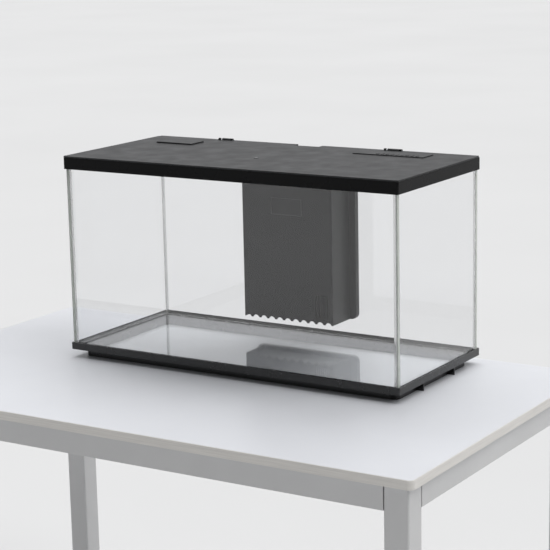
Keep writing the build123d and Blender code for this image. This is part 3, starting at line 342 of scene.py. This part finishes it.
FOAMS = {
    "filter_foam_coarse": foam("foam_coarse", tone=0.10, pores=420.0, tint=COOL),
    "filter_foam_fine": foam("foam_fine", tone=0.62, pores=800.0, tint=COOL),
}


# ---- the CAD nodes: materials and softened edges -----------------------------------------------
# Width of the rounded edge, in mm, by the first word of a node's name.
EDGE_WIDTH = {"stand": 0.9, "tank": 0.6, "lid": 0.5, "lamp": 0.3, "filter": 0.5, "heater": 0.3}
# Small, round or fused pieces, whose edges are not rounded.
NO_BEVEL = ("tank_bottom_seam", "tank_corner_seams", "filter_media_rings", "heater_tube", "lid_hatch_pins",
            "tank_hinge_pins", "lamp_leds", "heater_element", "filter_impeller_shaft", "lamp_clips")
# Clear pieces whose faces meet. They are drawn apart, because light stops between two faces in one place.
CLEAR_NODES = ("tank_pane", "tank_corner_seams", "tank_bottom_seam")
slot_of = {s["node"]: s["material_slot"] for s in frame["record"]["subparts"]}


def soften(obj, width):
    """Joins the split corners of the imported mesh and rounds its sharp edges."""
    weld = obj.modifiers.new("weld", "WELD")
    weld.merge_threshold = WELD_GAP
    if obj.name.startswith(CLEAR_NODES):
        apart = obj.modifiers.new("apart", "DISPLACE")
        apart.mid_level = 0.0
        apart.strength = -APART
    if obj.name in NO_BEVEL:
        return
    bevel = obj.modifiers.new("bevel", "BEVEL")
    bevel.width = width
    bevel.segments = 2
    bevel.limit_method = "ANGLE"
    bevel.angle_limit = SHARP
    bevel.use_clamp_overlap = True
    bevel.harden_normals = True


side_glass = clear_glass("side_glass", CLEAR_GREEN, FLOAT_DENSITY, ground=1)
# Nodes whose look differs from that of their slot.
BY_NODE = {
    "tank_pane_left": side_glass,
    "tank_pane_right": side_glass,
    "tank_bottom_seam": silicone("bottom_silicone", rgb(0.30), through=0.95),
}
for name, obj in nodes.items():
    material = BY_NODE.get(name, MATERIALS.get(slot_of[name]))
    if material is None:
        continue
    obj.data.materials.clear()
    obj.data.materials.append(material)
    soften(obj, EDGE_WIDTH[name.split("_")[0]] * MM)


# ---- foam blocks -------------------------------------------------------------------------------
LUMP = 2.2  # width of the large hollows in cut foam, in cells
FINE_SHARE = 0.6  # depth of the small hollows, as a share of the large ones
MOST_OUT = 0.9  # how far a strut stands out, as a share of the pit's depth, so that it stays in the CAD box


def foam_block(node, cell, pit):
    """A cut foam block with a torn, pitted surface, a little inside its CAD solid."""
    low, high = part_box(node)
    size = high - low - Vector((2 * pit,) * 3)
    centre = (low + high) / 2
    bm = bmesh.new()
    bmesh.ops.create_cube(bm, size=1.0)
    for axis in range(3):
        across = [e for e in bm.edges if abs((e.verts[0].co - e.verts[1].co).normalized()[axis]) > 0.9]
        cuts = max(int(size[axis] / cell) - 1, 1)
        bmesh.ops.subdivide_edges(bm, edges=across, cuts=cuts, use_grid_fill=True)
    bmesh.ops.recalc_face_normals(bm, faces=bm.faces)
    bm.normal_update()
    for vert in bm.verts:
        place = Vector(vert.co[i] * size[i] for i in range(3)) + centre
        depth = noise.noise(place / (LUMP * cell)) + FINE_SHARE * noise.noise(place / cell)
        vert.co = place + vert.normal * pit * max(-1.0, min(depth, MOST_OUT))
    mesh = bpy.data.meshes.new(node + "_cut")
    bm.to_mesh(mesh)
    bm.free()
    obj = bpy.data.objects.new(node + "_cut", mesh)
    bpy.context.scene.collection.objects.link(obj)
    obj.data.materials.append(FOAMS[slot_of[node]])
    for face in mesh.polygons:
        face.use_smooth = True
    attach(obj, "tank")
    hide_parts(node)


foam_block("filter_sponge_coarse", cell=3.2 * MM, pit=0.9 * MM)
foam_block("filter_sponge_fine", cell=3.0 * MM, pit=0.5 * MM)


# ---- heater winding ----------------------------------------------------------------------------
WIRE_R = 0.3 * MM
WIRE_OFF = 0.35 * MM  # from the former's surface to the wire's middle
TURNS = 46
STEPS = 14  # points in a turn
BARE_FOOT = 12 * MM  # unwound length at the former's lower end
BARE_TOP = 30 * MM  # and at its upper end


def heater_winding():
    """Resistance wire wound on the ceramic former, inside the glass tube."""
    low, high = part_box("heater_element")
    centre = (low + high) / 2
    radius = (high.x - low.x) / 2 + WIRE_OFF
    curve = bpy.data.curves.new("heater_winding", "CURVE")
    curve.dimensions = "3D"
    curve.bevel_depth = WIRE_R
    curve.bevel_resolution = 2
    spline = curve.splines.new("NURBS")
    count = TURNS * STEPS
    spline.points.add(count - 1)
    bottom = low.z + BARE_FOOT
    rise = (high.z - BARE_TOP - bottom) / count
    for i in range(count):
        angle = 2 * pi * i / STEPS
        x = centre.x + radius * cos(angle)
        y = centre.y + radius * sin(angle)
        spline.points[i].co = (x, y, bottom + rise * i, 1)
    spline.order_u = 3
    spline.use_endpoint_u = True
    obj = bpy.data.objects.new("heater_winding", curve)
    bpy.context.scene.collection.objects.link(obj)
    obj.data.materials.append(metal("winding_wire", tone=0.42, rough=0.35, tint=WARM))
    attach(obj, "tank")


heater_winding()


# ---- floor, light and camera -------------------------------------------------------------------
FLOOR_R = 60.0
CAMERA_AT = (2.035, -2.979, 1.719)
CAMERA_YAW = -32.16
CAMERA_PITCH = 11.96
CAMERA_ROLL = -1.21
CAMERA_LENS = 117.34


def floor():
    """A pale matt floor that reaches past everything the camera can see."""
    bm = bmesh.new()
    bmesh.ops.create_circle(bm, cap_ends=True, radius=FLOOR_R, segments=96)
    mesh = bpy.data.meshes.new("floor")
    bm.to_mesh(mesh)
    bm.free()
    obj = bpy.data.objects.new("floor", mesh)
    bpy.context.scene.collection.objects.link(obj)
    s = Surface("pale_floor", Specular_IOR_Level=0.0)
    s.colour(s.blend(s.span(s.noise(0.6), 0.0, 1.0), rgb(0.61), rgb(0.63)))
    s.rough(s.span(s.noise(2.0), 0.7, 0.85))
    obj.data.materials.append(s.mat)


def sun(name, azimuth, elevation, strength, softness):
    """A broad far light; azimuth 0 comes from +Y, and 90 from +X."""
    light = bpy.data.lights.new(name, "SUN")
    light.energy = strength
    light.angle = radians(softness)
    obj = bpy.data.objects.new(name, light)
    bpy.context.scene.collection.objects.link(obj)
    turn, lift = radians(azimuth), radians(elevation)
    towards = Vector((sin(turn) * cos(lift), cos(turn) * cos(lift), sin(lift)))
    obj.rotation_euler = towards.to_track_quat("Z", "Y").to_euler()


def sky(backdrop, front, zenith, towards):
    """A pale backdrop low on one side, and a dimmer studio in front and overhead."""
    world = bpy.data.worlds.new("studio")
    bpy.context.scene.world = world
    world.use_nodes = True
    tree = world.node_tree
    direction = tree.nodes.new("ShaderNodeTexCoord").outputs["Generated"]
    height = tree.nodes.new("ShaderNodeSeparateXYZ")
    tree.links.new(direction, height.inputs[0])
    facing = tree.nodes.new("ShaderNodeVectorMath")
    facing.operation = "DOT_PRODUCT"
    facing.inputs[1].default_value = towards
    tree.links.new(direction, facing.inputs[0])
    around = tree.nodes.new("ShaderNodeMapRange")
    around.interpolation_type = "SMOOTHSTEP"
    for socket, value in (("From Min", -0.2), ("From Max", 0.7), ("To Min", front), ("To Max", backdrop)):
        around.inputs[socket].default_value = value
    tree.links.new(facing.outputs["Value"], around.inputs["Value"])
    level = tree.nodes.new("ShaderNodeMapRange")
    for socket, value in (("From Min", 0.18), ("From Max", 0.50), ("To Max", zenith)):
        level.inputs[socket].default_value = value
    tree.links.new(height.outputs[2], level.inputs["Value"])
    tree.links.new(around.outputs[0], level.inputs["To Min"])
    background = tree.nodes["Background"]
    background.inputs["Color"].default_value = (0.97, 0.98, 1.0, 1.0)
    tree.links.new(level.outputs[0], background.inputs["Strength"])


def camera():
    """Long lens, from the front right and a little above the lid."""
    yaw, pitch, roll = radians(CAMERA_YAW), radians(CAMERA_PITCH), radians(CAMERA_ROLL)
    look = Vector((sin(yaw) * cos(pitch), cos(yaw) * cos(pitch), -sin(pitch)))
    side = look.cross(Vector((0, 0, 1))).normalized()
    up = side.cross(look)
    right = side * cos(roll) + up * sin(roll)
    upright = up * cos(roll) - side * sin(roll)
    data = bpy.data.cameras.new("camera")
    data.lens = CAMERA_LENS
    data.sensor_width = 36.0
    data.clip_end = 200.0
    obj = bpy.data.objects.new("camera", data)
    bpy.context.scene.collection.objects.link(obj)
    turn = Matrix((right, upright, -look)).transposed().to_4x4()
    obj.matrix_world = Matrix.Translation(CAMERA_AT) @ turn
    bpy.context.scene.camera = obj


floor()
sky(backdrop=0.84, front=0.26, zenith=0.34, towards=(-0.53, 0.85, 0.0))
sun("key", azimuth=-20.0, elevation=70.0, strength=2.2, softness=60.0)
sun("side", azimuth=82.0, elevation=48.0, strength=1.2, softness=40.0)
camera()
bpy.context.scene.view_settings.view_transform = "Standard"
